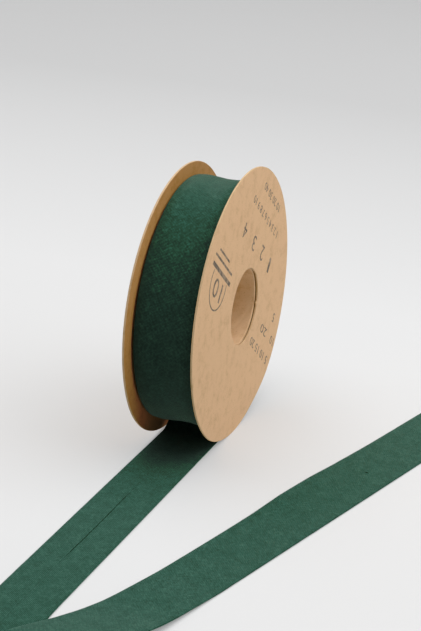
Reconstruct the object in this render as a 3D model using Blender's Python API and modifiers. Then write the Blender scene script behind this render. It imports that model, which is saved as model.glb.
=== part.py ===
"""Reel of bias binding: a card reel wound with folded cotton tape, its free end laid out in front.

The reel stands on the rims of its two card flanges. The tape leaves the pack underneath, runs along
the surface, turns over in a soft loop and comes back beside the reel. Metres, +Z up.

While it is modelled, x is 0 on the near flange's outer face, y is 0 below the far flange's middle
and z is 0 on the surface. The empty that carries every piece then brings the middle of the whole
object's footprint to the origin.
"""
import math

import bpy
import numpy as np

# Reel: two card discs across the ends of a card tube
FLANGE_RADIUS = 0.046
FAR_FLANGE_RADIUS = 0.0456
CARD = 0.0007
REEL_WIDTH = 0.0227
RIM_FLAT = 0.00012
FAR_LEAN = math.radians(1.08)
NEAR_FLANGE_Y = 0.0015
HOLE_RADIUS = 0.013
NEAR_HOLE_Y = 0.0035
NEAR_HOLE_Z = 0.0446

# Core tube
CORE_Y = 0.0028
CORE_Z = 0.0449
CORE_BORE = 0.0129
CORE_RADIUS = 0.0141
GAP = 0.0003

# Pack of wound tape, a little off the core's middle
PACK_Y = 0.0010
PACK_Z = 0.0454
PACK_OUTLINE = (
    {"from_near": 0.0000, "radius": 0.0407},
    {"from_near": 0.0008, "radius": 0.0411},
    {"from_near": 0.0040, "radius": 0.0413},
    {"from_near": 0.0075, "radius": 0.0410},
    {"from_near": 0.0110, "radius": 0.0409},
    {"from_near": 0.0145, "radius": 0.0412},
    {"from_near": 0.0175, "radius": 0.0414},
    {"from_near": 0.0200, "radius": 0.0412},
    {"from_near": 0.0240, "radius": 0.0408},
)

# Free end: the way out from under the pack, and the way back beside the reel
TAPE_WIDTH = 0.0198
SHEET = 0.0010
OUT_X = -0.0123
OUT_ANGLE = math.radians(0.66)
BACK_X = 0.0525
BACK_Y = 0.0026
BACK_ANGLE = math.radians(15.35)
TAPE_START = -0.0045
TAPE_END = -0.0630
PEEL_RISE = 0.0025
PEEL_Y = -0.0130
SIDEWAYS_REACH = 0.129

# Loop where the tape turns over: its reach from the reel and the height of its middle surface
LOOP = (
    {"reach": 0.1580, "height": 0.0005},
    {"reach": 0.1700, "height": 0.0006},
    {"reach": 0.1800, "height": 0.0015},
    {"reach": 0.1872, "height": 0.0036},
    {"reach": 0.1898, "height": 0.0064},
    {"reach": 0.1872, "height": 0.0092},
    {"reach": 0.1800, "height": 0.0104},
    {"reach": 0.1700, "height": 0.0094},
    {"reach": 0.1580, "height": 0.0069},
    {"reach": 0.1460, "height": 0.0042},
    {"reach": 0.1340, "height": 0.0022},
    {"reach": 0.1220, "height": 0.0013},
    {"reach": 0.1100, "height": 0.0008},
    {"reach": 0.0980, "height": 0.0005},
)

# Lift of the returning tape's inner edge, by its reach from the reel
LIFT = (
    {"reach": -0.0500, "lift": 0.0004},
    {"reach": -0.0170, "lift": 0.0005},
    {"reach": 0.0050, "lift": 0.0010},
    {"reach": 0.0210, "lift": 0.0016},
    {"reach": 0.0370, "lift": 0.0016},
    {"reach": 0.0540, "lift": 0.0008},
    {"reach": 0.0800, "lift": 0.0005},
    {"reach": 0.1100, "lift": 0.0005},
)
LIFT_CURL = 1.6

ROUND_STEPS = 112
SHEET_STEP = 0.0050
LOOP_STEP = 0.0022
SHEET_COLUMNS = 6
CURVE_STEPS = 24

CARD_COLOUR = (0.56, 0.36, 0.19, 1.0)
TUBE_COLOUR = (0.42, 0.25, 0.12, 1.0)
COTTON_COLOUR = (0.035, 0.105, 0.073, 1.0)


def new_collection(name):
    """Adds a collection to the scene."""
    collection = bpy.data.collections.new(name)
    bpy.context.scene.collection.children.link(collection)
    return collection


def new_finish(name, colour, roughness):
    """A Principled material for card or cloth."""
    finish = bpy.data.materials.new(name)
    finish.use_nodes = True
    shader = finish.node_tree.nodes["Principled BSDF"]
    shader.inputs["Base Color"].default_value = colour
    shader.inputs["Roughness"].default_value = roughness
    shader.inputs["Metallic"].default_value = 0.0
    return finish


class Bench:
    """Where the pieces and the cutting shapes go, and the empty that carries both."""

    def __init__(self):
        self.parts = new_collection("reel_of_bias_binding")
        self.cutters = new_collection("cutting_shapes")
        self.carrier = bpy.data.objects.new("reel_place", None)
        self.parts.objects.link(self.carrier)

    def move(self, obj, collection):
        """Puts an object in one collection, carried by the empty."""
        for other in list(obj.users_collection):
            other.objects.unlink(obj)
        collection.objects.link(obj)
        obj.parent = self.carrier
        return obj

    def piece(self, obj, finish):
        """Keeps an object as a piece of the part."""
        obj.data.materials.append(finish)
        return self.move(obj, self.parts)

    def cut(self, obj, tool):
        """Takes a cutting shape away from a piece."""
        self.move(tool, self.cutters)
        tool.hide_render = True
        tool.display_type = "WIRE"
        boolean = obj.modifiers.new(tool.name, "BOOLEAN")
        boolean.operation = "DIFFERENCE"
        boolean.solver = "EXACT"
        boolean.object = tool


def block(name, low, high, place, lean=0.0):
    """A box between two corners, put in place and leaning about the y axis."""
    bpy.ops.mesh.primitive_cube_add(size=1.0)
    obj = bpy.context.object
    obj.name = name
    for vertex in obj.data.vertices:
        vertex.co = [b if c > 0 else a for c, a, b in zip(vertex.co, low, high)]
    obj.location = place
    obj.rotation_euler = (0.0, lean, 0.0)
    return obj


def rod(name, radius, length, place, lean=0.0):
    """A cylinder along the reel's axis, its middle in place, leaning about the y axis."""
    bpy.ops.mesh.primitive_cylinder_add(vertices=ROUND_STEPS, radius=radius, depth=length)
    obj = bpy.context.object
    obj.name = name
    obj.location = place
    obj.rotation_euler = (0.0, math.pi / 2 + lean, 0.0)
    shade(obj)
    return obj


def turned(name, profile, place):
    """A ring turned about the reel's axis from a closed profile of radius and place along the axis.

    The profile runs down its outer side, from the greatest place along the axis to the least.
    """
    mesh = bpy.data.meshes.new(name)
    points = [(radius, 0.0, along) for radius, along in profile]
    mesh.from_pydata(points, [(i, (i + 1) % len(points)) for i in range(len(points))], [])
    obj = bpy.data.objects.new(name, mesh)
    screw = obj.modifiers.new("turn", "SCREW")
    screw.axis = "Z"
    screw.angle = math.tau
    screw.steps = ROUND_STEPS
    screw.render_steps = ROUND_STEPS
    screw.use_merge_vertices = True
    screw.merge_threshold = 0.0001
    obj.location = place
    obj.rotation_euler = (0.0, math.pi / 2, 0.0)
    return obj


def shade(obj):
    """Round faces smooth, edges sharp."""
    obj.data.shade_smooth()
    obj.data.set_sharp_from_angle(angle=math.radians(35))


def flange(bench, name, radius, place, hole_place, lean, finish):
    """A card disc with its hole and the small flat on which its rim stands."""
    disc = bench.piece(rod(name, radius, CARD, place, lean), finish)
    bench.cut(disc, rod(name + "_hole", HOLE_RADIUS, 10 * CARD, hole_place, lean))
    reach = radius / 2
    below = block(name + "_rest", (-reach, -reach, -reach), (reach, reach, 0.0), (*place[:2], 0.0))
    bench.cut(disc, below)
    return disc


def near_flange(bench, finish):
    """The disc that faces forward, glued a little off the core's middle."""
    x = -CARD / 2
    place = (x, NEAR_FLANGE_Y, FLANGE_RADIUS - RIM_FLAT)
    hole_place = (x, NEAR_HOLE_Y, NEAR_HOLE_Z)
    return flange(bench, "near_flange", FLANGE_RADIUS, place, hole_place, 0.0, finish)


def far_flange_place():
    """The middle of the far disc."""
    return (CARD / 2 - REEL_WIDTH, 0.0, FAR_FLANGE_RADIUS - RIM_FLAT)


def far_flange(bench, finish):
    """The disc behind the pack, its top leaning in towards the tape."""
    place = far_flange_place()
    hole_place = (place[0], CORE_Y, CORE_Z)
    return flange(bench, "far_flange", FAR_FLANGE_RADIUS, place, hole_place, FAR_LEAN, finish)


def core_tube(bench, finish):
    """The card tube, just clear of both discs."""
    near = -CARD - GAP
    far = near - (REEL_WIDTH - 2 * CARD - 2 * GAP - 2 * CORE_RADIUS * math.sin(FAR_LEAN))
    profile = [(CORE_RADIUS, near), (CORE_RADIUS, far), (CORE_BORE, far), (CORE_BORE, near)]
    return bench.piece(turned("core_tube", profile, (0.0, CORE_Y, CORE_Z)), finish)


def wound_tape(bench, finish):
    """The pack: its uneven last turns as a turned outline, its far side along the leaning disc."""
    near = -CARD - GAP
    outline = [(row["radius"], near - row["from_near"]) for row in PACK_OUTLINE]
    inside = CORE_BORE / 2
    profile = outline + [(inside, outline[-1][1]), (inside, near)]
    pack = bench.piece(turned("wound_tape", profile, (0.0, PACK_Y, PACK_Z)), finish)
    bore_place = (-REEL_WIDTH / 2, CORE_Y, CORE_Z)
    bench.cut(pack, rod("wound_tape_bore", CORE_RADIUS + GAP, 2 * REEL_WIDTH, bore_place))
    reach = 2 * FLANGE_RADIUS
    low = (-reach, -reach, -reach)
    high = (CARD / 2 + GAP, reach, reach)
    bench.cut(pack, block("wound_tape_side", low, high, far_flange_place(), FAR_LEAN))
    return pack


def smooth_curve(rows, first, second):
    """A smooth curve through the rows of a table, as an array of points (Catmull-Rom)."""
    points = np.array([(row[first], row[second]) for row in rows])
    padded = np.vstack([2 * points[0] - points[1], points, 2 * points[-1] - points[-2]])
    t = np.linspace(0.0, 1.0, CURVE_STEPS, endpoint=False)[:, None]
    runs = []
    for a, b, c, d in zip(padded, padded[1:], padded[2:], padded[3:]):
        bend = (2 * a - 5 * b + 4 * c - d) * t**2 + (3 * b - a - 3 * c + d) * t**3
        runs.append(b + 0.5 * ((c - a) * t + bend))
    return np.vstack([*runs, points[-1:]])


def ease(share):
    """A smooth step from 0 to 1."""
    share = np.clip(share, 0.0, 1.0)
    return share * share * (3.0 - 2.0 * share)


class TapeRoute:
    """The free end as a strip bent over one cylinder-like fold.

    The fold's side view gives reach and height by the distance walked along it. Across the fold the
    strip's middle is a line that leans by half the angle between the way out and the way back. What
    sideways move is left over is eased in beyond SIDEWAYS_REACH, where bias-cut cloth bends flat.
    """

    def __init__(self):
        middle = (OUT_ANGLE + BACK_ANGLE) / 2
        self.slope = math.tan((BACK_ANGLE - OUT_ANGLE) / 2)
        self.outward = np.array([-math.sin(middle), -math.cos(middle)])
        self.across = np.array([math.cos(middle), -math.sin(middle)])
        loop = smooth_curve(LOOP, "reach", "height")
        start = (TAPE_START, LOOP[0]["height"])
        end = (TAPE_END, LOOP[-1]["height"])
        self.side = np.vstack([start, loop, end])
        steps = np.hypot(*np.diff(self.side, axis=0).T)
        self.walked = np.concatenate([[0.0], np.cumsum(steps)])
        self.loop_start = self.walked[1]
        self.loop_end = self.walked[-2]
        self.half_way = self.walked[-1] / 2
        self.bend_start = SIDEWAYS_REACH - TAPE_START
        self.bend_end = self.walked[-1] - (SIDEWAYS_REACH - TAPE_END)
        out = self.on_line(np.array([OUT_X, 0.0]), 1.0)
        back = self.on_line(np.array([BACK_X, BACK_Y]), -1.0)
        self.out_offset = out - self.slope * (0.0 - TAPE_START)
        straight = self.out_offset + self.slope * self.walked[-1]
        self.extra = back - self.slope * TAPE_END - straight

    def on_line(self, point, sense):
        """Where a strip's middle line crosses the reach of 0, measured across the fold."""
        return point @ self.across - sense * self.slope * (point @ self.outward)

    def middle(self, walked):
        """The strip's middle measured across the fold, and its slope, for a distance walked."""
        share = (walked - self.bend_start) / (self.bend_end - self.bend_start)
        inside = np.clip(share, 0.0, 1.0)
        gain = 6.0 * inside * (1.0 - inside) / (self.bend_end - self.bend_start)
        line = self.out_offset + self.slope * walked
        return line + self.extra * ease(share), self.slope + self.extra * gain

    def stations(self):
        """Distances walked at which the strip has a row of points, closer along the loop."""
        marks = [
            (0.0, self.loop_start, SHEET_STEP),
            (self.loop_start, self.loop_end, LOOP_STEP),
            (self.loop_end, self.walked[-1], SHEET_STEP),
        ]
        runs = [np.linspace(a, b, round((b - a) / step), endpoint=False) for a, b, step in marks]
        return np.concatenate([*runs, [self.walked[-1]]])

    def points(self, walked, side):
        """Points of the middle surface, for distances walked and distances to the side of the middle."""
        across, slope = self.middle(walked)
        turn = np.arctan(slope)
        place = walked - side * np.sin(turn)
        across = across + side * np.cos(turn)
        reach = self.beyond(place, 0)
        height = self.beyond(place, 1)
        flat = reach[:, None] * self.outward + across[:, None] * self.across
        rise = PEEL_RISE * ease(1.0 - flat[:, 1] / PEEL_Y)
        height = height + np.where(walked < self.half_way, rise, 0.0)
        lift = smooth_curve(LIFT, "reach", "lift")
        curl = np.interp(reach, lift[:, 0], lift[:, 1]) * (0.5 - side / TAPE_WIDTH) ** LIFT_CURL
        height = height + np.where(walked > self.half_way, curl, 0.0)
        return np.column_stack([flat, height])

    def beyond(self, place, column):
        """Reach (0) or height (1) by the distance walked, carried straight on past both ends."""
        value = np.interp(place, self.walked, self.side[:, column])
        if column == 0:
            value = value + np.minimum(place, 0.0) - np.maximum(place - self.walked[-1], 0.0)
        return value


def tape_end(bench, finish):
    """The free end: a grid laid along the route and given its thickness."""
    route = TapeRoute()
    stations = route.stations()
    rows = len(stations) - 1
    bpy.ops.mesh.primitive_grid_add(x_subdivisions=rows, y_subdivisions=SHEET_COLUMNS, size=2.0)
    obj = bpy.context.object
    obj.name = "tape_end"
    flat = np.empty(len(obj.data.vertices) * 3)
    obj.data.vertices.foreach_get("co", flat)
    flat = flat.reshape(-1, 3)
    walked = stations[np.rint((flat[:, 0] + 1.0) / 2.0 * rows).astype(int)]
    points = route.points(walked, flat[:, 1] * TAPE_WIDTH / 2)
    obj.data.vertices.foreach_set("co", points.ravel())
    shell = obj.modifiers.new("thickness", "SOLIDIFY")
    shell.thickness = SHEET
    shell.offset = 0.0
    shell.use_even_offset = True
    obj.data.shade_smooth()
    return bench.piece(obj, finish)


def settle(carrier, pieces):
    """Moves the empty so that the middle of the footprint comes to the origin."""
    bpy.context.view_layer.update()
    depsgraph = bpy.context.evaluated_depsgraph_get()
    lows = []
    highs = []
    for piece in pieces:
        seen = piece.evaluated_get(depsgraph)
        mesh = seen.to_mesh()
        points = np.empty(len(mesh.vertices) * 3)
        mesh.vertices.foreach_get("co", points)
        turn = np.array(seen.matrix_world)
        world = points.reshape(-1, 3) @ turn[:3, :3].T + turn[:3, 3]
        seen.to_mesh_clear()
        lows.append(world.min(axis=0))
        highs.append(world.max(axis=0))
    middle = (np.min(lows, axis=0) + np.max(highs, axis=0)) / 2
    carrier.location = (-middle[0], -middle[1], 0.0)


def main():
    for obj in list(bpy.data.objects):
        bpy.data.objects.remove(obj, do_unlink=True)
    bench = Bench()
    kraft = new_finish("kraft_card", CARD_COLOUR, 0.85)
    tube = new_finish("core_card", TUBE_COLOUR, 0.9)
    cotton = new_finish("cotton_tape", COTTON_COLOUR, 0.9)
    pieces = [
        near_flange(bench, kraft),
        far_flange(bench, kraft),
        core_tube(bench, tube),
        wound_tape(bench, cotton),
        tape_end(bench, cotton),
    ]
    settle(bench.carrier, pieces)


main()
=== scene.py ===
"""Looks of a reel of bias binding: green cotton tape wound between two discs of kraft card.

Shapes are worked out in the reel's own place: x is 0 on the near disc's outer face and falls
towards the far disc, y is 0 below the far disc's middle and falls along the tape's way out, and z
is 0 on the surface. ReelPlace reads from the frame where that is. Lengths are in metres.
"""
import logging
import math
from dataclasses import dataclass, field
from enum import Enum

import bmesh
import bpy
import numpy as np
from bpy.types import ID, Material, Node, NodeSocket, NodeTree, Object
from mathutils import Matrix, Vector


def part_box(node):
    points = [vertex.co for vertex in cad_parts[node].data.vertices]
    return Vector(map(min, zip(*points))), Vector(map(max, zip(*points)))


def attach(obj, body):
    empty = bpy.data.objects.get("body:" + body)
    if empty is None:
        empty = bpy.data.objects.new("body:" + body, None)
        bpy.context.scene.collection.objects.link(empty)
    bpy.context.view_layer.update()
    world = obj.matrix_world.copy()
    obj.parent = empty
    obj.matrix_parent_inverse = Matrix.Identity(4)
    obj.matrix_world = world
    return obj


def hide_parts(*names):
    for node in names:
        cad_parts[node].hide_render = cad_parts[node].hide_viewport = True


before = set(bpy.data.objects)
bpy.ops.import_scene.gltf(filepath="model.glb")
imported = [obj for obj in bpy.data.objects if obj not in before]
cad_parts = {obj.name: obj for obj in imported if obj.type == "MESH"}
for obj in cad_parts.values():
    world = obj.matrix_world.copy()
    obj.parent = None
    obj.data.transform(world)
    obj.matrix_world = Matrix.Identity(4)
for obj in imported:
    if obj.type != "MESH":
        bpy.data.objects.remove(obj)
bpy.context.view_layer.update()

LOG = logging.getLogger("reel")
BODY = "root"
# Attribute that says where on the unfolded cloth a point lies
CLOTH_PLACE = "cloth"
# Keeps cloth and floor from lying in one plane
CLEAR = 0.00002
Array = np.ndarray


class Slot(Enum):
    """Material slots of the record."""

    CARD = "kraft_card"
    CORE = "core_card"
    COTTON = "cotton_tape"


class Ends(Enum):
    """How the first and last section of a shell are finished."""

    LOOPED = "the last section joins the first"
    CAPPED = "each end is closed across the wall"


def linear(hex_colour: str) -> tuple[float, float, float, float]:
    """Turns an sRGB hex colour into linear light.

    Args:
        hex_colour: six hex digits after a number sign.

    Returns:
        Red, green and blue in linear light, and an alpha of 1.
    """
    channels = [int(hex_colour[i : i + 2], 16) / 255 for i in (1, 3, 5)]
    red, green, blue = (c / 12.92 if c <= 0.04045 else ((c + 0.055) / 1.055) ** 2.4 for c in channels)
    return red, green, blue, 1.0


def set_inputs(node: Node, inputs: dict) -> None:
    """Sets or links a node's inputs.

    Args:
        node: the node.
        inputs: by the input's name or number, a value, an output socket, or a node whose first
            output is meant.
    """
    for key, value in inputs.items():
        source = value.outputs[0] if isinstance(value, Node) else value
        if isinstance(source, NodeSocket):
            node.id_data.links.new(source, node.inputs[key])
        else:
            node.inputs[key].default_value = source


def add_node(tree: NodeTree, kind: str, inputs: dict | None = None, **settings) -> Node:
    """Adds a shader node with its settings and links.

    Args:
        tree: the node tree that takes the node.
        kind: the node's type without its ShaderNode prefix.
        inputs: what each input takes, as in set_inputs.
        **settings: the node's own properties.

    Returns:
        The new node.
    """
    node = tree.nodes.new("ShaderNode" + kind)
    for key, value in settings.items():
        setattr(node, key, value)
    set_inputs(node, inputs or {})
    return node


def set_stops(ramp: Node, stops: dict[float, str]) -> None:
    """Gives a colour ramp its stops.

    Args:
        ramp: the colour ramp.
        stops: an sRGB hex colour for each position, in rising order.
    """
    elements = ramp.color_ramp.elements
    while len(elements) < len(stops):
        elements.new(1.0)
    for element, (position, colour) in zip(elements, stops.items()):
        element.position = position
        element.color = linear(colour)


def new_material(name: str) -> tuple[Material, NodeTree, Node]:
    """Makes a material with a bare Principled shader.

    Args:
        name: the real material's name.

    Returns:
        The material, its node tree and its Principled node.
    """
    material = bpy.data.materials.new(name)
    material.use_nodes = True
    tree = material.node_tree
    return material, tree, tree.nodes["Principled BSDF"]


def ease(share: Array) -> Array:
    """Smooth step: 3s^2 - 2s^3 of a share s held between 0 and 1."""
    share = np.clip(share, 0.0, 1.0)
    return share * share * (3.0 - 2.0 * share)


def ripple(along: Array, across: Array, length: float, seed: int) -> Array:
    """Uneven waves between -1 and 1 over a strip.

    Formula: the mean of five sines whose wavelengths run from 0.6 to 2.1 times the given length and
    whose phases also shift with the place across.

    Args:
        along: places along the strip.
        across: places across the strip.
        length: the usual wavelength.
        seed: picks the phases.

    Returns:
        The height of the waves at each place.
    """
    random = np.random.default_rng(seed)
    total = np.zeros(np.broadcast(along, across).shape)
    for share in (0.6, 0.85, 1.2, 1.6, 2.1):
        phase, skew = random.uniform(0.0, math.tau), random.uniform(-1.0, 1.0)
        total = total + np.sin(math.tau * (along + skew * across) / (share * length) + phase)
    return total / 5.0


def curve_through(rows: tuple, first: str, second: str, steps: int = 24) -> Array:
    """Smooth curve through the rows of a table.

    Formula: a Catmull-Rom cubic between each pair of rows, with the end tangents carried straight.

    Args:
        rows: the table's rows.
        first: name of the first column.
        second: name of the second column.
        steps: points between neighbouring rows.

    Returns:
        Points of the curve, one a row.
    """
    points = np.array([(row[first], row[second]) for row in rows])
    padded = np.vstack([2 * points[0] - points[1], points, 2 * points[-1] - points[-2]])
    t = np.linspace(0.0, 1.0, steps, endpoint=False)[:, None]
    runs = []
    for a, b, c, d in zip(padded, padded[1:], padded[2:], padded[3:]):
        bend = (2 * a - 5 * b + 4 * c - d) * t**2 + (3 * b - a - 3 * c + d) * t**3
        runs.append(b + 0.5 * ((c - a) * t + bend))
    return np.vstack([*runs, points[-1:]])


def read_curve(rows: tuple, first: str, second: str, at: Array) -> Array:
    """Reads the smooth curve through a table's rows.

    Args:
        rows: the table's rows.
        first: name of the first column.
        second: name of the second column.
        at: places in the first column.

    Returns:
        What the second column says there.
    """
    curve = curve_through(rows, first, second)
    return np.interp(at, curve[:, 0], curve[:, 1])


def round_angles(count: int) -> Array:
    """Angles evenly round a whole turn, one a row."""
    return np.linspace(0.0, math.tau, count, endpoint=False)[:, None]


def unit(vectors: Array) -> Array:
    """Vectors brought to a length of 1."""
    return vectors / np.linalg.norm(vectors, axis=-1, keepdims=True)


def add_object(name: str, data: ID) -> Object:
    """Adds an object to the scene.

    Args:
        name: the object's name.
        data: its mesh, light or camera.

    Returns:
        The object, at the origin.
    """
    made = bpy.data.objects.new(name, data)
    bpy.context.scene.collection.objects.link(made)
    return made


def aim(data: ID, at: Array, right: Array, ahead: Array) -> Object:
    """Adds a camera or a light that looks ahead, under its own name.

    Args:
        data: the camera or light.
        at: where it hangs.
        right: the unit vector to its right.
        ahead: the unit vector that it looks along.

    Returns:
        The object.
    """
    holder = add_object(data.name, data)
    turn = Matrix(np.column_stack([right, np.cross(right, ahead), -ahead]).tolist()).to_4x4()
    holder.matrix_world = Matrix.Translation(at.tolist()) @ turn
    return holder


def make_object(name: str, points: Array, faces: Array, sharp_degrees: float) -> Object:
    """Makes a closed mesh object at the origin, with its faces pointing out.

    Formula: the sum of a . (b x c) over each face's corners is six times the volume. Where it is
    negative, every face is turned round.

    Args:
        name: the piece's name.
        points: one point a row.
        faces: one quad a row, as indexes of points.
        sharp_degrees: edges sharper than this stay sharp.

    Returns:
        The object, linked to the scene.
    """
    a, b, c, d = (points[faces[:, i]] for i in range(4))
    volume = np.einsum("ij,ij->", a, np.cross(b, c)) + np.einsum("ij,ij->", a, np.cross(c, d))
    if volume < 0.0:
        faces = faces[:, ::-1]
    mesh = bpy.data.meshes.new(name)
    mesh.from_pydata(points.tolist(), [], faces.tolist())
    mesh.shade_smooth()
    mesh.set_sharp_from_angle(angle=math.radians(sharp_degrees))
    return add_object(name, mesh)


def shell(name: str, grid: Array, ends: Ends, sharp_degrees: float = 50.0) -> Object:
    """Joins closed sections into a shell.

    Formula: point j of section i is joined with its neighbours j + 1 and i + 1 by a quad. A capped
    end joins point j with point K - 1 - j, so the section's first half is the wall's outside and its
    second half, walked back, is the wall's inside.

    Args:
        name: the piece's name.
        grid: sections by points by three coordinates.
        ends: how the first and last section are finished.
        sharp_degrees: edges sharper than this stay sharp.

    Returns:
        The piece.
    """
    sections, around = grid.shape[:2]
    rows = sections if ends is Ends.LOOPED else sections - 1
    i, j = np.meshgrid(np.arange(rows), np.arange(around), indexing="ij")
    ahead, beside = (i + 1) % sections, (j + 1) % around
    this, following = i * around, ahead * around
    quads = np.stack([this + j, this + beside, following + beside, following + j], axis=-1)
    faces = [quads.reshape(-1, 4)]
    if ends is Ends.CAPPED:
        m = np.arange(around // 2 - 1)
        cap = np.stack([m, around - 1 - m, around - 2 - m, m + 1], axis=-1)
        faces += [cap, (cap + (sections - 1) * around)[:, ::-1]]
    return make_object(name, grid.reshape(-1, 3), np.concatenate(faces), sharp_degrees)


def finish_piece(piece: Object, finishes: tuple[Material, ...], slot: Slot, *nodes: str) -> None:
    """Dresses a piece, lets it ride on the body, and hides the solids that it stands for.

    Args:
        piece: the piece.
        finishes: its materials.
        slot: the record's slot that it belongs to; not used.
        *nodes: the solids that it stands for.
    """
    for finish in finishes:
        piece.data.materials.append(finish)
    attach(piece, BODY)
    if nodes:
        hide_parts(*nodes)


def lay_cloth(piece: Object, across: Array, along: Array, deep: Array) -> None:
    """Writes where on the unfolded cloth each point of a piece lies.

    Args:
        piece: the piece.
        across: places across the cloth.
        along: places along it.
        deep: places through it.
    """
    places = np.stack([across, along, deep], axis=-1)
    attribute = piece.data.attributes.new(CLOTH_PLACE, "FLOAT_VECTOR", "POINT")
    attribute.data.foreach_set("vector", places.astype(np.float32).ravel())


@dataclass(frozen=True)
class ReelPlace:
    """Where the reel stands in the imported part, read from the boxes of its two discs."""

    origin: Array
    near_middle: tuple[float, float]
    near_radius: float
    far_middle: tuple[float, float]
    far_radius: float
    far_face: float

    @classmethod
    def from_frame(cls) -> "ReelPlace":
        """Reads the discs' boxes.

        Returns:
            The reel's place and its discs' middles and radii.
        """
        near_low, near_high = (np.array(corner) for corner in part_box("near_flange"))
        far_low, far_high = (np.array(corner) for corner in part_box("far_flange"))
        origin = np.array([near_high[0], (far_low[1] + far_high[1]) / 2, 0.0])
        near_radius = float(near_high[1] - near_low[1]) / 2
        far_radius = float(far_high[1] - far_low[1]) / 2
        near_y = float(near_low[1] + near_high[1]) / 2 - origin[1]
        return cls(
            origin=origin,
            near_middle=(near_y, float(near_high[2]) - near_radius),
            near_radius=near_radius,
            far_middle=(0.0, float(far_high[2]) - far_radius),
            far_radius=far_radius,
            far_face=float(far_low[0] + far_high[0]) / 2 - origin[0],
        )


@dataclass(frozen=True)
class BiasCotton:
    """Plain-woven cotton cut on the bias: matt, slightly mottled, with a faint diagonal grain."""

    deep: str = "#162D22"
    mid: str = "#234236"
    pale: str = "#375C4C"
    sheen: str = "#9AC0AE"
    # Real threads lie 0.27 mm apart; drawn a little coarser so that they show
    thread_spacing: float = 0.00034
    grain_angle: float = math.radians(45)
    slub_length: float = 0.0009
    slub_scale: float = 0.55
    cloud_size: float = 0.004
    slub_share: float = 0.48
    cloud_share: float = 0.26
    weave_share: float = 0.10
    roughness: float = 0.88
    ior: float = 1.5
    relief: float = 0.00005
    slub_relief: float = 0.8

    def material(self) -> Material:
        """Builds the cloth.

        Formula: with a and b the places across the two sets of threads, turned 45 degrees to the
        tape and counted in threads, the weave's height is cos(pi a) cos(pi b). Noise drawn out along
        each set of threads gives slubs, and a broad noise gives clouds of dye.

        Returns:
            The material.
        """
        material, tree, shader = new_material("bias-cut plain-weave cotton")
        cloth = add_node(tree, "Attribute", attribute_name=CLOTH_PLACE, attribute_type="GEOMETRY")
        place = cloth.outputs["Vector"]
        counted = (1 / self.thread_spacing,) * 3
        biased = {"Vector": place, "Rotation": (0.0, 0.0, self.grain_angle), "Scale": counted}
        turned = add_node(tree, "Mapping", biased)
        threads = add_node(tree, "SeparateXYZ", {0: turned})
        stretch = self.thread_spacing / self.slub_length
        waves = []
        slubs = []
        for axis, scale in (("X", (stretch, 1.0, 1.0)), ("Y", (1.0, stretch, 1.0))):
            turn = add_node(tree, "Math", {0: threads.outputs[axis], 1: math.pi}, operation="MULTIPLY")
            waves.append(add_node(tree, "Math", {0: turn}, operation="COSINE"))
            drawn = add_node(tree, "Mapping", {"Vector": turned, "Scale": scale})
            noise = {"Vector": drawn, "Scale": self.slub_scale, "Detail": 3.0, "Roughness": 0.6}
            slubs.append(add_node(tree, "TexNoise", noise))
        weave = add_node(tree, "Math", {0: waves[0], 1: waves[1]}, operation="MULTIPLY")
        both = add_node(tree, "Math", {0: slubs[0], 1: slubs[1]}, operation="ADD")
        broad = {"Vector": place, "Scale": 1 / self.cloud_size, "Detail": 2.0, "Roughness": 0.5}
        clouds = add_node(tree, "TexNoise", broad)
        # Each noise lies about 0.5, so the shares bring the sum back to 0.5
        tone = 0.5 - self.slub_share - 0.5 * self.cloud_share
        layers = ((clouds, self.cloud_share), (both, self.slub_share), (weave, self.weave_share))
        for layer, share in layers:
            tone = add_node(tree, "Math", {0: layer, 1: share, 2: tone}, operation="MULTIPLY_ADD")
        ramp = add_node(tree, "ValToRGB", {0: tone})
        set_stops(ramp, {0.3: self.deep, 0.5: self.mid, 0.7: self.pale})
        height = add_node(tree, "Math", {0: both, 1: self.slub_relief, 2: weave}, operation="MULTIPLY_ADD")
        bump = add_node(tree, "Bump", {"Height": height, "Distance": self.relief, "Strength": 0.8})
        finish = {
            "Base Color": ramp,
            "Normal": bump,
            "Roughness": self.roughness,
            "IOR": self.ior,
            "Specular IOR Level": 0.25,
            "Sheen Weight": 0.9,
            "Sheen Roughness": 0.4,
            "Sheen Tint": linear(self.sheen),
        }
        set_inputs(shader, finish)
        return material


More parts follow.
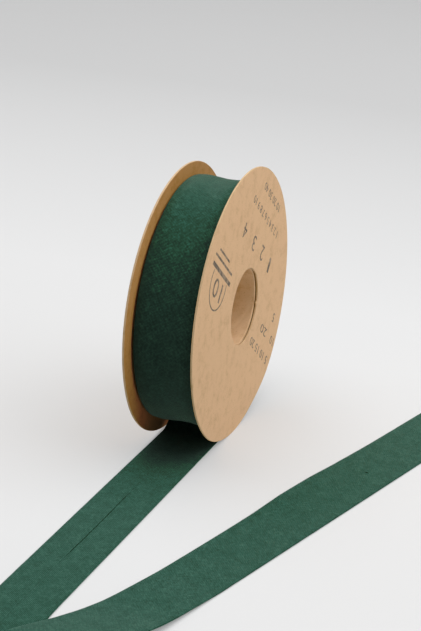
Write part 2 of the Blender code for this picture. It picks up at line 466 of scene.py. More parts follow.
@dataclass(frozen=True)
class KraftBoard:
    """Unbleached kraft board: matt brown paper with short fibres, flecks and faint clouds."""

    name: str
    dark: str
    light: str
    fleck: str = "#8A6238"
    # Kraft fibres are about 0.03 mm wide; drawn wider so that they show
    fibre_width: float = 0.00016
    fibre_length: float = 0.0009
    fibre_leans: tuple[float, float] = (math.radians(25.0), math.radians(-50.0))
    cloud_size: float = 0.0035
    fleck_size: float = 0.0004
    fleck_from: float = 0.68
    fleck_to: float = 0.76
    fleck_depth: float = 0.5
    roughness: float = 0.86
    ior: float = 1.5
    relief: float = 0.00003

    def material(self) -> Material:
        """Builds the board.

        Formula: two noises drawn out along crossing lines on the card give the fibres, a third noise
        the clouds, and the peaks of a fine noise the darker flecks.

        Returns:
            The material.
        """
        material, tree, shader = new_material(self.name)
        place = add_node(tree, "TexCoord").outputs["Object"]
        fibre_scale = (1 / self.fibre_width, 1 / self.fibre_width, 1 / self.fibre_length)
        layers = []
        for lean in self.fibre_leans:
            turned = {"Vector": place, "Rotation": (lean, 0.0, 0.0), "Scale": fibre_scale}
            drawn = add_node(tree, "Mapping", turned)
            layers.append(add_node(tree, "TexNoise", {"Vector": drawn, "Scale": 1.0, "Detail": 3.0}))
        fibres = add_node(tree, "Math", {0: layers[0], 1: layers[1]}, operation="ADD")
        broad = {"Vector": place, "Scale": 1 / self.cloud_size, "Detail": 4.0, "Roughness": 0.6}
        clouds = add_node(tree, "TexNoise", broad)
        tone = add_node(tree, "Math", {0: fibres, 1: 0.5, 2: clouds}, operation="MULTIPLY_ADD")
        ramp = add_node(tree, "ValToRGB", {0: tone})
        set_stops(ramp, {0.7: self.dark, 1.0: self.light})
        fine = add_node(tree, "TexNoise", {"Vector": place, "Scale": 1 / self.fleck_size, "Detail": 1.0})
        peaks = {0: fine, 1: self.fleck_from, 2: self.fleck_to, 3: 0.0, 4: self.fleck_depth}
        spots = add_node(tree, "MapRange", peaks)
        colour = add_node(tree, "Mix", {0: spots, 6: ramp, 7: linear(self.fleck)}, data_type="RGBA")
        bump = add_node(tree, "Bump", {"Height": tone, "Distance": self.relief, "Strength": 0.6})
        finish = {
            "Base Color": colour.outputs[2],
            "Normal": bump,
            "Roughness": self.roughness,
            "IOR": self.ior,
            "Specular IOR Level": 0.3,
        }
        set_inputs(shader, finish)
        return material


# The printed face, the face towards the tape, the cut edges and the core tube
BOARDS = (
    {"name": "calendered kraft board", "dark": "#C9A278", "light": "#DCB58A"},
    {"name": "raw kraft board", "dark": "#B17D48", "light": "#C6915B"},
    {"name": "cut edge of kraft board", "dark": "#B8986F", "light": "#CFAF86"},
    {"name": "spiral-wound core board", "dark": "#C49B71", "light": "#D8B48B"},
)


@dataclass(frozen=True)
class StampInk:
    """Stamped ink on board: a thin grey-brown layer, paler where the stamp pressed lightly."""

    full: str = "#5E5348"
    worn: str = "#A98F74"
    patch_size: float = 0.0022
    roughness: float = 0.8

    def material(self) -> Material:
        """Builds the ink: a patchy noise mixes full and worn ink.

        Returns:
            The material.
        """
        material, tree, shader = new_material("stamped ink")
        place = add_node(tree, "TexCoord").outputs["Object"]
        patchy = {"Vector": place, "Scale": 1 / self.patch_size, "Detail": 4.0, "Roughness": 0.65}
        ramp = add_node(tree, "ValToRGB", {0: add_node(tree, "TexNoise", patchy)})
        set_stops(ramp, {0.42: self.full, 0.66: self.worn})
        set_inputs(shader, {"Base Color": ramp, "Roughness": self.roughness})
        return material


@dataclass(frozen=True)
class CardDisc:
    """A die-cut disc of kraft board with a round hole, not quite flat and not quite round."""

    name: str
    node: str
    middle: tuple[float, float]
    radius: float
    hole_middle: tuple[float, float]
    face_x: float
    lean: float
    printed_side: int
    seed: int
    hole_radius: float = 0.013
    thickness: float = 0.00062
    corner: float = 0.00014
    cut_wobble: float = 0.00005
    wobble_turn: float = math.tau / 9
    warp: float = 0.00012
    tuck: float = 0.0
    tuck_height: float = 0.013
    notch_angle: float = math.radians(-12.5)
    notch_depth: float = 0.0
    notch_width: float = math.radians(2.2)
    angles: int = 360
    rings: int = 34
    corner_steps: int = 4

    def section(self) -> tuple[Array, Array, Array]:
        """The wall's section, walked once round.

        Formula: the share of the way from hole to rim goes out along one face and back along the
        other, and both corners of each cut edge are quarter circles.

        Returns:
            Shares of the way, places through the thickness, and 0, 1 or 2 for face, edge or back.
        """
        way = self.radius - self.hole_radius
        half, small = self.thickness / 2, self.corner / way
        flat = small + (1 - 2 * small) * ease(np.linspace(0.0, 1.0, self.rings))
        bend = np.linspace(0.0, math.pi / 2, self.corner_steps + 1)[1:]
        rim = 1 - small + small * np.sin(bend)
        drop = half - self.corner * (1 - np.cos(bend))
        share = np.concatenate([flat, rim, rim[::-1], flat[::-1], 1 - rim, (1 - rim)[::-1]])
        depth = np.concatenate([np.full(flat.size, half), drop, -drop[::-1], np.full(flat.size, -half)])
        depth = np.concatenate([depth, -drop, drop[::-1]])
        edge = bend.size * 2
        kind = np.concatenate(
            [np.zeros(flat.size - 1), np.ones(edge + 1), np.full(flat.size - 1, 2.0), np.ones(edge + 1)]
        )
        return share, depth, kind

    def bulge(self, y: Array, z: Array) -> Array:
        """How far the card is off flat: a saddle, less the foot's tuck, which eases in lower down."""
        saddle = self.warp * (y - self.middle[0]) * (z - self.middle[1]) / self.radius**2
        return saddle - self.tuck * ease(1.0 - z / self.tuck_height)

    def outer_face(self, y: Array, z: Array) -> Array:
        """Where the face that looks out lies: half the card off its middle, with its bulge and lean."""
        out = self.printed_side * self.thickness / 2 + self.bulge(y, z)
        return self.face_x + out + (z - self.middle[1]) * math.tan(self.lean)

    def build(self, place: ReelPlace, printed: Material, edge: Material,
              back: Material) -> Object:
        """Builds the disc and dresses its printed face, its cut edges and its back.

        Formula: at each angle a point lies between the hole's edge and the rim, each a circle about
        its own middle with a slight wobble; the card leans about the level line through its middle.

        Args:
            place: where the reel stands.
            printed: finish of the side that faces out.
            edge: finish of the cut edges.
            back: finish of the side that faces the tape.

        Returns:
            The piece.
        """
        share, depth, kind = self.section()
        angle = round_angles(self.angles)
        wobble = self.cut_wobble * ripple(angle, 0 * angle, self.wobble_turn, self.seed)
        off_notch = (angle - self.notch_angle + math.pi) % math.tau - math.pi
        torn = self.notch_depth * np.exp(-((off_notch / self.notch_width) ** 2))
        hole = self.hole_radius + wobble - torn
        rim = self.radius - self.cut_wobble + wobble
        y, z = (
            (1 - share) * (self.hole_middle[i] + hole * way) + share * (self.middle[i] + rim * way)
            for i, way in enumerate((np.cos(angle), np.sin(angle)))
        )
        x = self.printed_side * depth[None, :] + self.bulge(y, z)
        high = z - self.middle[1]
        turned_x = self.face_x + x * math.cos(self.lean) + high * math.sin(self.lean)
        turned_z = self.middle[1] + high * math.cos(self.lean) - x * math.sin(self.lean)
        grid = np.stack([turned_x, y + 0 * x, np.maximum(turned_z, 0.0)], axis=-1) + place.origin
        piece = shell(self.name, grid, Ends.LOOPED)
        finish_piece(piece, (printed, edge, back), Slot.CARD, self.node)
        indexes = np.tile(kind, self.angles).astype(np.int32)
        piece.data.polygons.foreach_set("material_index", indexes)
        return piece


@dataclass(frozen=True)
class CoreTube:
    """A short spiral-wound card tube between the discs, its seam a shallow helical groove."""

    middle: tuple[float, float] = (0.0028, 0.0449)
    near_x: float = -0.00092
    far_x: float = -0.02160
    bore: float = 0.0129
    wall: float = 0.0012
    corner: float = 0.0001
    seam_pitch: float = 0.034
    seam_width: float = 0.0006
    seam_depth: float = 0.00012
    angles: int = 240
    steps: int = 72
    outside_steps: int = 6

    def build(self, place: ReelPlace, board: Material) -> Object:
        """Builds the tube.

        Formula: a flat ring section carried round the axis; the bore's radius grows by a narrow bell
        curve where the place along the axis, less the angle's share of the seam's pitch, is zero.

        Args:
            place: where the reel stands.
            board: finish of the card.

        Returns:
            The piece.
        """
        angle = round_angles(self.angles)
        inside = np.linspace(self.near_x - self.corner, self.far_x + self.corner, self.steps)
        outside = np.linspace(self.far_x + self.corner, self.near_x - self.corner, self.outside_steps)
        outer = self.bore + self.wall
        x = np.concatenate([inside, [self.far_x, self.far_x], outside, [self.near_x, self.near_x]])
        radius = np.concatenate(
            [
                np.full(self.steps, self.bore),
                [self.bore + self.corner, outer - self.corner],
                np.full(outside.size, outer),
                [outer - self.corner, self.bore + self.corner],
            ]
        )
        off_seam = (x[None, :] - self.seam_pitch * angle / math.tau) % self.seam_pitch
        off_seam = np.minimum(off_seam, self.seam_pitch - off_seam)
        groove = self.seam_depth * np.exp(-((off_seam / self.seam_width) ** 2))
        on_bore = (np.arange(x.size) < self.steps)[None, :]
        radius = radius[None, :] + np.where(on_bore, groove, 0.0)
        y = self.middle[0] + radius * np.cos(angle)
        z = self.middle[1] + radius * np.sin(angle)
        grid = np.stack([np.broadcast_to(x, y.shape), y, z], axis=-1) + place.origin
        piece = shell("core_paper_tube", grid, Ends.LOOPED)
        finish_piece(piece, (board,), Slot.CORE, "core_tube")
        return piece


LOOP = (
    {"reach": 0.1580, "height": 0.0000},
    {"reach": 0.1700, "height": 0.0001},
    {"reach": 0.1800, "height": 0.0010},
    {"reach": 0.1872, "height": 0.0031},
    {"reach": 0.1898, "height": 0.0059},
    {"reach": 0.1872, "height": 0.0087},
    {"reach": 0.1800, "height": 0.0099},
    {"reach": 0.1700, "height": 0.0089},
    {"reach": 0.1580, "height": 0.0074},
    {"reach": 0.1460, "height": 0.0051},
    {"reach": 0.1340, "height": 0.0029},
    {"reach": 0.1220, "height": 0.0012},
    {"reach": 0.1100, "height": 0.0005},
    {"reach": 0.0980, "height": 0.0000},
)

LIFT = (
    {"reach": -0.0500, "lift": 0.0007},
    {"reach": -0.0170, "lift": 0.0008},
    {"reach": 0.0050, "lift": 0.0013},
    {"reach": 0.0210, "lift": 0.0019},
    {"reach": 0.0370, "lift": 0.0019},
    {"reach": 0.0540, "lift": 0.0011},
    {"reach": 0.0800, "lift": 0.0008},
    {"reach": 0.1100, "lift": 0.0008},
)

CROWN = (
    {"side": -0.0098, "rise": 0.00000},
    {"side": -0.0070, "rise": 0.00025},
    {"side": -0.0040, "rise": 0.00005},
    {"side": -0.0005, "rise": -0.00025},
    {"side": 0.0030, "rise": -0.00015},
    {"side": 0.0065, "rise": 0.00015},
    {"side": 0.0098, "rise": -0.00010},
)


@dataclass(frozen=True)
class TapeRoute:
    """Where the tape's middle surface runs: its last turns, the way out, the loop and the way back."""

    width: float = 0.0198
    rest_height: float = 0.0003
    axis: tuple[float, float] = (0.0010, 0.0454)
    last_radius: float = 0.0411
    turn_pitch: float = 0.00047
    turns: float = 2.3
    lean_share: float = 0.00055
    out_x: float = -0.0123
    out_angle: float = math.radians(0.66)
    back_x: float = 0.0525
    back_y: float = 0.0026
    back_angle: float = math.radians(15.35)
    start: float = -0.0045
    end: float = -0.0630
    peel_length: float = 0.0102
    sideways_reach: float = 0.129
    lift_curl: float = 1.6
    crown_turn: float = 0.5
    normal_step: float = 0.0002

    @property
    def slope(self) -> float:
        """Sideways move of the strip for each metre walked along the fold."""
        return math.tan((self.back_angle - self.out_angle) / 2)

    def directions(self) -> tuple[Array, Array]:
        """The fold's level directions: outward, away from the reel, and across."""
        middle = (self.out_angle + self.back_angle) / 2
        outward = np.array([-math.sin(middle), -math.cos(middle)])
        return outward, np.array([math.cos(middle), -math.sin(middle)])

    def side_view(self) -> tuple[Array, Array]:
        """The fold seen from the side.

        Returns:
            Reach and height of its points, and the distance walked to each.
        """
        loop = curve_through(LOOP, "reach", "height")
        side = np.vstack([(self.start, 0.0), loop, (self.end, 0.0)])
        steps = np.hypot(*np.diff(side, axis=0).T)
        return side, np.concatenate([[0.0], np.cumsum(steps)])

    def length_out(self) -> float:
        """Distance walked from the start of the free end to its cut end."""
        return float(self.side_view()[1][-1])

    def wound_length(self) -> float:
        """Length of the turns that are modelled one by one."""
        return self.turns * math.tau * (self.last_radius - self.turns * self.turn_pitch / 2)

    def middle_line(self, walked: Array) -> tuple[Array, Array]:
        """The strip's middle measured across the fold, and its slope.

        Formula: a straight line, plus what is left of the sideways move, eased in by a smooth step
        between the two places beyond sideways_reach.

        Args:
            walked: distances walked.

        Returns:
            Places across the fold, and slopes.
        """
        outward, across = self.directions()
        total = self.length_out()
        out = np.array([self.out_x, 0.0])
        back = np.array([self.back_x, self.back_y])
        out_line = out @ across - self.slope * (out @ outward) + self.slope * self.start
        back_line = back @ across + self.slope * (back @ outward) - self.slope * self.end
        extra = back_line - (out_line + self.slope * total)
        first = self.sideways_reach - self.start
        last = total - (self.sideways_reach - self.end)
        share = (walked - first) / (last - first)
        inside = np.clip(share, 0.0, 1.0)
        gain = 6.0 * inside * (1.0 - inside) / (last - first)
        return out_line + self.slope * walked + extra * ease(share), self.slope + extra * gain

    def surface(self, walked: Array, side: Array) -> Array:
        """Points of the tape's middle surface.

        Formula: a point is laid beside the middle line, square to it, on the fold's side view. Behind
        the place where the tape leaves the pack, its level distance is wrapped on a spiral whose
        radius falls by the pitch each turn, with the pack's crown added and its lean towards the far
        disc. The way out falls to the surface by a smooth step, and the way back lifts its inner edge.

        Args:
            walked: distances walked, negative on the pack.
            side: distances to the side of the middle.

        Returns:
            Points, with three coordinates last.
        """
        outward, across_way = self.directions()
        view, steps = self.side_view()
        total = steps[-1]
        across, slope = self.middle_line(walked)
        turn = np.arctan(slope)
        at = walked - side * np.sin(turn)
        across = across + side * np.cos(turn)
        reach = np.interp(at, steps, view[:, 0]) + np.minimum(at, 0.0) - np.maximum(at - total, 0.0)
        height = np.interp(at, steps, view[:, 1])
        x = reach * outward[0] + across * across_way[0]
        y = reach * outward[1] + across * across_way[1]
        returning = walked > total / 2
        off_fold = np.maximum(0.5 - side / self.width, 0.0)
        curl = read_curve(LIFT, "reach", "lift", reach) * off_fold**self.lift_curl
        drop = self.axis[1] - self.last_radius - self.rest_height
        fall = drop * ease(1.0 - (self.axis[0] - y) / self.peel_length)
        z = self.rest_height + height + np.where(returning, curl, fall)
        wrapped = np.where(returning, 0.0, np.maximum(y - self.axis[0], 0.0))
        back_turn = wrapped / self.last_radius
        rise = read_curve(CROWN, "side", "rise", side) * ease(back_turn / self.crown_turn)
        radius = self.last_radius - self.turn_pitch * back_turn / math.tau + rise
        angle = math.pi - back_turn
        on_pack = wrapped > 0.0
        lean = self.lean_share * (1 + np.cos(angle))
        x = np.where(on_pack, x - math.tan(self.out_angle) * wrapped + lean, x)
        y = np.where(on_pack, self.axis[0] + radius * np.sin(angle), y)
        z = np.where(on_pack, self.axis[1] + radius * np.cos(angle), z)
        return np.stack([x, y, z], axis=-1)

    def inner_side(self, walked: Array, side: Array) -> Array:
        """Unit normals on the side with the folded-in edges, from differences of nearby points."""
        step = self.normal_step
        along = self.surface(walked + step, side) - self.surface(walked - step, side)
        across = self.surface(walked, side + step) - self.surface(walked, side - step)
        return unit(np.cross(along, across))


@dataclass(frozen=True)
class BindingTape:
    """The tape: a strip of cotton whose two raw edges are folded in until they nearly meet."""

    route: TapeRoute = field(default_factory=TapeRoute)
    cloth: float = 0.00020
    free_half: float = 0.00029
    wound_half: float = 0.00023
    slit_offset: float = -0.0006
    slit_wander: float = 0.00016
    slit_wave: float = 0.035
    slit_seed: int = 6
    closed_gap: float = 0.00004
    open_gap: float = 0.00034
    gap_change: float = 0.25
    gap_wave: float = 0.012
    gap_seed: int = 5
    slit_from: float = 0.0595
    slit_to: float = 0.1140
    slit_fade: float = 0.010
    loosen_over: float = 0.03
    ripple_height: float = 0.00007
    ripple_wave: float = 0.021
    ripple_seed: int = 11
    ripple_fade: float = 0.02
    flap_points: int = 11
    fold_points: int = 6
    face_points: int = 18
    straight: float = 0.155
    wound_step: float = 0.0021
    free_step: float = 0.0014
    loop_step: float = 0.0010

    def stations(self) -> Array:
        """Distances walked at which the tape has a section, closer along the loop."""
        total = self.route.length_out()
        marks = (
            (-self.route.wound_length(), 0.0, self.wound_step),
            (0.0, self.straight, self.free_step),
            (self.straight, total - self.straight, self.loop_step),
            (total - self.straight, total, self.free_step),
        )
        runs = [np.linspace(a, b, round((b - a) / step), endpoint=False) for a, b, step in marks]
        return np.concatenate([*runs, [total]])

    def section(self, walked: Array) -> tuple[Array, Array, Array]:
        """The folded section at each station, walked once round the cloth.

        Formula: the cloth's outside runs from one raw edge over its flap, round the fold's half
        circle, along the smooth side, round the other fold and back over the other flap. Its inside
        is the same walk at one cloth thickness less, taken backwards.

        Args:
            walked: distances walked, one a row.

        Returns:
            Places to the side, places towards the inner side, and places across the unfolded cloth.
        """
        loose = ease(1.0 + walked / self.loosen_over)
        half = self.wound_half + (self.free_half - self.wound_half) * loose
        inside = np.minimum(walked - self.slit_from, self.slit_to - walked)
        opened = ease(inside / self.slit_fade)
        uneven = 1.0 + self.gap_change * ripple(walked, 0 * walked, self.gap_wave, self.gap_seed)
        gap = self.closed_gap + (self.open_gap - self.closed_gap) * opened * uneven
        wander = ripple(walked, 0 * walked, self.slit_wave, self.slit_seed)
        slit = self.slit_offset + self.slit_wander * wander
        fold_at = self.route.width / 2 - half
        bend = np.linspace(0.0, math.pi, self.fold_points + 2)[1:-1]
        flap = np.linspace(0.0, 1.0, self.flap_points)
        face = np.linspace(-1.0, 1.0, self.face_points)
        walls = []
        for inward in (0.0, 1.0):
            reach = half - inward * self.cloth
            left = slit - gap / 2 + flap * (-fold_at - slit + gap / 2)
            right = fold_at + flap * (slit + gap / 2 - fold_at)
            out, rise = reach * np.sin(bend), reach * np.cos(bend)
            sides = [left, -fold_at - out, face * fold_at, fold_at + out, right]
            highs = [reach + 0 * left, rise, -reach + 0 * face * fold_at, -rise, reach + 0 * right]
            walls.append((np.concatenate(sides, axis=1), np.concatenate(highs, axis=1)))
        (outer_side, outer_high), (inner_side, inner_high) = walls
        steps = np.hypot(np.diff(outer_side, axis=1), np.diff(outer_high, axis=1))
        across = np.concatenate([0 * walked, np.cumsum(steps, axis=1)], axis=1)
        across = across - across[:, -1:] / 2
        side = np.concatenate([outer_side, inner_side[:, ::-1]], axis=1)
        high = np.concatenate([outer_high, inner_high[:, ::-1]], axis=1)
        return side, high, np.concatenate([across, across[:, ::-1]], axis=1)

    def build(self, place: ReelPlace, cotton: Material, rests_on: tuple[str, ...]) -> Object:
        """Builds the last turns and the free end as one tape.

        Formula: each section's points are laid beside the middle surface along its normal, with
        slight ripples that grow towards the folds. The ripples stay off the surface it lies on.

        Args:
            place: where the reel stands.
            cotton: finish of the cloth.
            rests_on: names of the pieces under the tape; not used.

        Returns:
            The piece.
        """
        walked = self.stations()[:, None]
        side, high, across = self.section(walked)
        spread = np.broadcast_to(walked, side.shape)
        raised = high[..., None] * self.route.inner_side(spread, side)
        points = self.route.surface(spread, side) + raised
        free = ease(walked / self.ripple_fade)
        uneven = np.abs(ripple(spread, side, self.ripple_wave, self.ripple_seed))
        points[..., 2] = np.maximum(points[..., 2] + uneven * self.ripple_height * free, CLEAR)
        piece = shell("binding_tape", points + place.origin, Ends.CAPPED, sharp_degrees=60.0)
        lay_cloth(piece, across, spread, 0 * across)
        finish_piece(piece, (cotton,), Slot.COTTON, "tape_end")
        return piece


@dataclass(frozen=True)
class WoundTurns:
    """The pack under the last turns: a ring whose sides show the folded edges of the outer turns."""

    route: TapeRoute = field(default_factory=TapeRoute)
    core_middle: tuple[float, float] = (0.0028, 0.0449)
    inner_radius: float = 0.0144
    turn_half: float = 0.00023
    turns_below: float = 0.02
    edge_margin: float = 0.0006
    edge_turns: int = 10
    edge_bulge: float = 0.00018
    wander: float = 0.00012
    seed: int = 3
    points_a_turn: int = 5
    face_points: int = 14
    angles: int = 200

    def build(self, place: ReelPlace, cotton: Material) -> Object:
        """Builds the pack.

        Formula: a closed section carried round the axis. Its outside follows the crown, and its sides
        step inwards a turn at a time, each turn's fold a half circle that stands a little out, with
        small sideways wandering. The section leans with the turns above it, and its middle moves from
        the core's to the pack's on the way out.

        Args:
            place: where the reel stands.
            cotton: finish of the cloth.

        Returns:
            The piece.
        """
        route = self.route
        outer = route.last_radius - (route.turns + self.turns_below) * route.turn_pitch - self.turn_half
        half = route.width / 2
        random = np.random.default_rng(self.seed)
        fold = np.linspace(0.0, math.pi, self.points_a_turn, endpoint=False)
        turn = np.arange(self.edge_turns)[:, None]
        radius = (outer - route.turn_pitch * (turn + fold[None, :] / math.pi)).ravel()
        sides = []
        for _ in range(2):
            shift = random.uniform(-1.0, 1.0, (self.edge_turns, 1)) * self.wander
            stand = self.edge_bulge * np.sin(fold)[None, :]
            sides.append((half - self.edge_bulge - self.wander + shift + stand).ravel())
        flat_half = half - self.edge_margin
        face = np.linspace(-flat_half, flat_half, self.face_points)
        rise = read_curve(CROWN, "side", "rise", face)
        inner = np.full(2, self.inner_radius)
        side = np.concatenate([face, sides[0], [flat_half, -flat_half], -sides[1][::-1]])[None, :]
        out = np.concatenate([outer + rise, radius, inner, radius[::-1]])[None, :]
        angle = round_angles(self.angles)
        middle_x = route.out_x + route.lean_share * (1 + np.cos(angle))
        off_core = (out - self.inner_radius) / (outer - self.inner_radius)
        x = middle_x + side
        y, z = (
            core + (pack - core) * off_core + out * way
            for core, pack, way in zip(self.core_middle, route.axis, (np.sin(angle), np.cos(angle)))
        )
        piece = shell("wound_turns", np.stack([x, y, z], axis=-1) + place.origin, Ends.LOOPED)
        lay_cloth(piece, x, angle * out, 0 * x + out)
        finish_piece(piece, (cotton,), Slot.COTTON, "wound_tape")
        return piece


STAMPED_NUMBERS = (
    {"text": "10 20 30 40", "y": 0.0256, "z": 0.0766, "length": 0.0215, "height": 0.0027},
    {"text": "1 2 3 4 5 6 7 8 9 10", "y": 0.0200, "z": 0.0712, "length": 0.0340, "height": 0.0027},
    {"text": "1", "y": 0.0269, "z": 0.0521, "length": 0.0018, "height": 0.0052},
    {"text": "2", "y": 0.0184, "z": 0.0590, "length": 0.0034, "height": 0.0052},
    {"text": "3", "y": 0.0091, "z": 0.0652, "length": 0.0034, "height": 0.0052},
    {"text": "4", "y": -0.0009, "z": 0.0722, "length": 0.0036, "height": 0.0052},
    {"text": "5", "y": 0.0360, "z": 0.0300, "length": 0.0022, "height": 0.0032},
    {"text": "10", "y": 0.0354, "z": 0.0215, "length": 0.0044, "height": 0.0030},
    {"text": "20", "y": 0.0255, "z": 0.0288, "length": 0.0080, "height": 0.0030},
    {"text": "5 10 15 20", "y": 0.0214, "z": 0.0227, "length": 0.0240, "height": 0.0030},
    {"text": "10", "y": -0.0250, "z": 0.0596, "length": 0.0092, "height": 0.0062},
)

STAMPED_BARS = (
    {"y": -0.0218, "z": 0.0640, "length": 0.0215, "width": 0.0014},
    {"y": -0.0200, "z": 0.0666, "length": 0.0205, "width": 0.0008},
    {"y": -0.0196, "z": 0.0694, "length": 0.0120, "width": 0.0007},
)


@dataclass(frozen=True)
class FlangePrint:
    """Plain numbers, rules and an open ring, stamped where the real disc is printed.

    The stamp stands at an angle, as the reel has been turned since it was stamped.
    """

    disc: CardDisc
    reading: float = math.radians(143)
    film: float = 0.00003
    ring_middle: tuple[float, float] = (-0.0243, 0.0609)
    ring_radius: float = 0.0080
    ring_width: float = 0.0005
    ring_from: float = math.radians(-200)
    ring_to: float = math.radians(20)
    ring_points: int = 60
    bar_points: int = 12

    def on_card(self, along: Array, up: Array, at: tuple[float, float], high: Array) -> Array:
        """Lays points of the stamp on the card.

        Formula: both ways turn by the stamp's angle about its place, and x is the card's face plus
        the ink's height.

        Args:
            along: places along the reading direction.
            up: places across it.
            at: the stamp's place on the disc.
            high: heights above the card.

        Returns:
            Points, with three coordinates last.
        """
        y = at[0] + along * math.cos(self.reading) - up * math.sin(self.reading)
        z = at[1] + along * math.sin(self.reading) + up * math.cos(self.reading)
        return np.stack([self.disc.outer_face(y, z) + high, y, z], axis=-1)

    def ribbon(self, name: str, path: Array, width: float, at: tuple[float, float], place: ReelPlace
               ) -> Object:
        """Makes one ink line.

        Formula: at each point of the path a flat section stands square to it, half the width to both
        sides, from just inside the card to the film's height.

        Args:
            name: the piece's name.
            path: points along the line, in the stamp's own plane.
            width: the line's width.
            at: the stamp's place on the disc.
            place: where the reel stands.

        Returns:
            The piece.
        """
        way = unit(np.gradient(path, axis=0))
        square = np.column_stack([-way[:, 1], way[:, 0]]) * width / 2
        corners = np.stack([path + square, path - square, path - square, path + square], axis=1)
        high = np.broadcast_to(self.film * np.array([1.0, 1.0, -1.0, -1.0]), corners.shape[:2])
        grid = self.on_card(corners[..., 0], corners[..., 1], at, high) + place.origin
        return shell(name, grid, Ends.CAPPED)

    def numbers(self, row: dict, place: ReelPlace) -> Object:
        """Makes one row of numbers.

        Formula: the letters of a text are made a mesh, brought to the row's length and height, and
        laid on the card.

        Args:
            row: the row's text, place, length and height.
            place: where the reel stands.

        Returns:
            The piece.
        """
        curve = bpy.data.curves.new("numbers", "FONT")
        curve.body = row["text"]
        curve.resolution_u = 3
        curve.extrude = 0.5
        writer = bpy.data.objects.new("numbers", curve)
        mesh = bpy.data.meshes.new_from_object(writer)
        bpy.data.objects.remove(writer)
        points = np.empty(len(mesh.vertices) * 3)
        mesh.vertices.foreach_get("co", points)
        points = points.reshape(-1, 3)
        low, high = points.min(axis=0), points.max(axis=0)
        level = (points - (low + high) / 2) / (high - low)
        at = (row["y"], row["z"])
        film = level[:, 2] * 2 * self.film
        laid = self.on_card(level[:, 0] * row["length"], level[:, 1] * row["height"], at, film)
        mesh.vertices.foreach_set("co", (laid + place.origin).ravel())
        weld = bmesh.new()
        weld.from_mesh(mesh)
        bmesh.ops.remove_doubles(weld, verts=weld.verts, dist=self.film / 10)
        weld.to_mesh(mesh)
        weld.free()
        mesh.shade_flat()
        return add_object("stamped_numbers", mesh)

    def build(self, place: ReelPlace, ink: Material) -> list[Object]:
        """Stamps the numbers, the bars and the open ring.

        Formula of the ring: radius times cosine and sine of the angle, from one open end to the
        other.

        Args:
            place: where the reel stands.
            ink: finish of the ink.

        Returns:
            The pieces.
        """
        pieces = [self.numbers(row, place) for row in STAMPED_NUMBERS]
        for row in STAMPED_BARS:
            along = np.linspace(-row["length"] / 2, row["length"] / 2, self.bar_points)
            path = np.column_stack([along, 0 * along])
            pieces.append(self.ribbon("stamped_bar", path, row["width"], (row["y"], row["z"]), place))
        angle = np.linspace(self.ring_from, self.ring_to, self.ring_points)
        ring = self.ring_radius * np.column_stack([np.cos(angle), -np.sin(angle)])
        pieces.append(self.ribbon("stamped_ring", ring, self.ring_width, self.ring_middle, place))
        for piece in pieces:
            finish_piece(piece, (ink,), Slot.CARD)
        return pieces


@dataclass(frozen=True)
class SlubKnot:
    """A short thick place in one thread of the returning strip, standing a little out of the cloth."""

    route: TapeRoute = field(default_factory=TapeRoute)
    reach: float = 0.0040
    side: float = 0.0009
    above: float = 0.00034
    length: float = 0.0013
    width: float = 0.0006
    height: float = 0.0003
    pole: float = 0.02
    steps: int = 10

    def build(self, place: ReelPlace, cotton: Material) -> Object:
        """Builds the slub.

        Formula: an ellipsoid by its two angles, laid on the strip's smooth side.

        Args:
            place: where the reel stands.
            cotton: finish of the cloth.

        Returns:
            The piece.
        """
        walked = np.array([self.route.length_out() - (self.reach - self.route.end)])
        side = np.array([self.side])
        smooth_side = -self.route.inner_side(walked, side)[0]
        middle = self.route.surface(walked, side)[0] + self.above * smooth_side
        tilt = np.linspace(self.pole, math.pi - self.pole, self.steps)[:, None]
        turn = round_angles(2 * self.steps).T
        x = self.length / 2 * np.cos(tilt) + 0 * turn
        y = self.width / 2 * np.sin(tilt) * np.cos(turn)
        z = self.height / 2 * np.sin(tilt) * np.sin(turn)
        piece = shell("slub_knot", np.stack([x, y, z], axis=-1) + middle + place.origin, Ends.CAPPED)
        finish_piece(piece, (cotton,), Slot.COTTON)
        return piece


SOFT_BOXES = (
    {"name": "overhead_box", "size": (2.4, 1.6), "watts": 28.6,
     "at": (0.30, 0.22, 1.20), "to": (0.30, 0.22, 0.0)},
    {"name": "right_box", "size": (1.9, 1.4), "watts": 4.6,
     "at": (1.10, 0.15, 0.80), "to": (0.0, 0.05, 0.05)},
    {"name": "left_box", "size": (1.9, 1.4), "watts": 3.5,
     "at": (-1.20, 0.30, 0.80), "to": (-0.10, 0.0, 0.0)},
)

FILM_TOE = (
    {"light": 0.015, "shown": 0.010},
    {"light": 0.030, "shown": 0.020},
    {"light": 0.045, "shown": 0.032},
    {"light": 0.070, "shown": 0.064},
    {"light": 0.100, "shown": 0.100},
    {"light": 0.400, "shown": 0.400},
)

# Of the view's four curves, the one for red, green and blue together
ALL_CHANNELS = 3


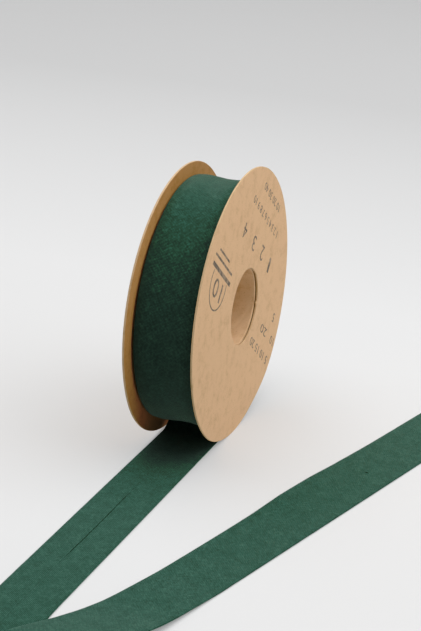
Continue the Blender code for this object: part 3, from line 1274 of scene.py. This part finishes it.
@dataclass(frozen=True)
class Studio:
    """The camera at the photograph's angle, a plain pale floor and soft lights."""

    # The picture's height and the focal length are in pixels of the photograph
    frame_height: float = 631.0
    focal: float = 1767.92
    sensor: float = 36.0
    nearest: float = 0.01
    furthest: float = 20.0
    camera_at: tuple[float, float, float] = (0.17313, -0.51750, 0.24563)
    yaw: float = math.radians(-19.55)
    pitch: float = math.radians(20.45)
    roll: float = math.radians(3.0)
    world_colour: str = "#F4F6FA"
    world_strength: float = 0.12
    floor_colour: str = "#B4B4B4"
    # Painted shade: the floor is greyer farther behind the part, where the light falls off.
    floor_far_shade: str = "#A3A3A3"
    # The floor's glow is painted light: it lightens the shadows that fall on the floor.
    floor_glow: float = 0.56
    floor_size: float = 6.0
    behind_from: float = 0.20
    behind_to: float = 0.55

    def place_camera(self, place: ReelPlace) -> None:
        """Puts the camera where the photograph was taken.

        Formula: the view turns by the yaw about the upright, tips down by the pitch and rolls about
        its own line. The lens is the focal length in pixels over the frame's long side, times the
        sensor's width.

        Args:
            place: where the reel stands.
        """
        ahead = np.array(
            [
                math.sin(self.yaw) * math.cos(self.pitch),
                math.cos(self.yaw) * math.cos(self.pitch),
                -math.sin(self.pitch),
            ]
        )
        level = np.array([math.cos(self.yaw), -math.sin(self.yaw), 0.0])
        upright = np.cross(level, ahead)
        right = math.cos(self.roll) * level + math.sin(self.roll) * upright
        camera = bpy.data.cameras.new("photo_camera")
        camera.lens = self.focal / self.frame_height * self.sensor
        camera.sensor_width = self.sensor
        camera.clip_start = self.nearest
        camera.clip_end = self.furthest
        at = place.origin + np.array(self.camera_at)
        bpy.context.scene.camera = aim(camera, at, right, ahead)

    def hang_box(self, row: dict) -> None:
        """Hangs a soft box, level or, where it looks down, with its top towards +Y.

        Args:
            row: its name, place, what it faces, its width and height, and its power in watts.
        """
        light = bpy.data.lights.new(row["name"], "AREA")
        light.shape = "RECTANGLE"
        light.size, light.size_y = row["size"]
        light.energy = row["watts"]
        at = np.array(row["at"])
        ahead = unit(np.array(row["to"]) - at)
        looks_down = abs(ahead[2]) > 0.9
        beside = unit(np.cross(ahead, (0.0, 1.0, 0.0) if looks_down else (0.0, 0.0, 1.0)))
        aim(light, at, beside, ahead)

    def light_scene(self) -> None:
        """Sets the even sky light and hangs the soft boxes."""
        world = bpy.data.worlds.new("even_light")
        world.use_nodes = True
        sky = {"Color": linear(self.world_colour), "Strength": self.world_strength}
        set_inputs(world.node_tree.nodes["Background"], sky)
        bpy.context.scene.world = world
        for row in SOFT_BOXES:
            self.hang_box(row)

    def set_film(self) -> None:
        """Gives the picture a camera's contrast: a toe that deepens light under a tenth of white."""
        view = bpy.context.scene.view_settings
        view.view_transform = "Standard"
        view.use_curve_mapping = True
        for row in FILM_TOE:
            view.curve_mapping.curves[ALL_CHANNELS].points.new(row["light"], row["shown"])
        view.curve_mapping.update()

    def lay_floor(self) -> None:
        """Lays the plain pale floor just under the part; it glows a little, painted light that lightens
        the shadows on it.

        Formula: the floor's colour moves to a greyer one with the distance behind the part, painted shade
        for the light that falls off towards the back, and its glow is that colour times one strength.
        """
        half = self.floor_size / 2
        mesh = bpy.data.meshes.new("floor")
        corners = ((-half, -half), (half, -half), (half, half), (-half, half))
        mesh.from_pydata([(x, y, -CLEAR) for x, y in corners], [], [(0, 1, 2, 3)])
        material, tree, shader = new_material("pale paper floor")
        place = add_node(tree, "SeparateXYZ", {0: add_node(tree, "TexCoord").outputs["Object"]})
        # Painted shade: the floor's colour greys with the distance behind the part.
        distance = {0: place.outputs["Y"], 1: self.behind_from, 2: self.behind_to}
        behind = add_node(tree, "MapRange", distance)
        shades = {0: behind, 6: linear(self.floor_colour), 7: linear(self.floor_far_shade)}
        paper = add_node(tree, "Mix", shades, data_type="RGBA").outputs[2]
        # Painted light: the floor glows with its own colour, which lightens the shadows on it.
        lit = {"Base Color": paper, "Emission Color": paper, "Emission Strength": self.floor_glow}
        set_inputs(shader, {**lit, "Roughness": 0.9, "Specular IOR Level": 0.1})
        mesh.materials.append(material)
        floor = add_object("floor", mesh)


def main() -> None:
    """Builds the studio and then each sub-assembly of the reel."""
    logging.basicConfig(level=logging.INFO)
    place = ReelPlace.from_frame()
    studio = Studio()
    studio.place_camera(place)
    studio.light_scene()
    studio.set_film()
    studio.lay_floor()

    cotton = BiasCotton().material()
    printed, raw, cut, core = (KraftBoard(**row).material() for row in BOARDS)

    near = CardDisc(
        name="near_disc",
        node="near_flange",
        middle=place.near_middle,
        radius=place.near_radius,
        hole_middle=(0.0035, 0.0446),
        face_x=-0.00035,
        lean=math.radians(0.3),
        printed_side=1,
        seed=1,
        warp=-0.0003,
        tuck=0.0007,
        notch_depth=0.0006,
    )
    far = CardDisc(
        name="far_disc",
        node="far_flange",
        middle=place.far_middle,
        radius=place.far_radius,
        hole_middle=(0.0028, 0.0449),
        face_x=place.far_face - 0.00035,
        lean=math.radians(1.08),
        printed_side=-1,
        seed=2,
    )
    pieces = [disc.build(place, printed, cut, raw) for disc in (near, far)]
    pieces.append(CoreTube().build(place, core))
    pack = WoundTurns().build(place, cotton)
    pieces += [pack, BindingTape().build(place, cotton, (pack.name,))]
    dark_cotton = BiasCotton(deep="#081A13", mid="#0C2119", pale="#112A20").material()
    pieces.append(SlubKnot().build(place, dark_cotton))
    pieces += FlangePrint(disc=near).build(place, StampInk().material())
    for piece in pieces:
        LOG.info("%s: %d faces", piece.name, len(piece.data.polygons))


if __name__ == "__main__":
    main()
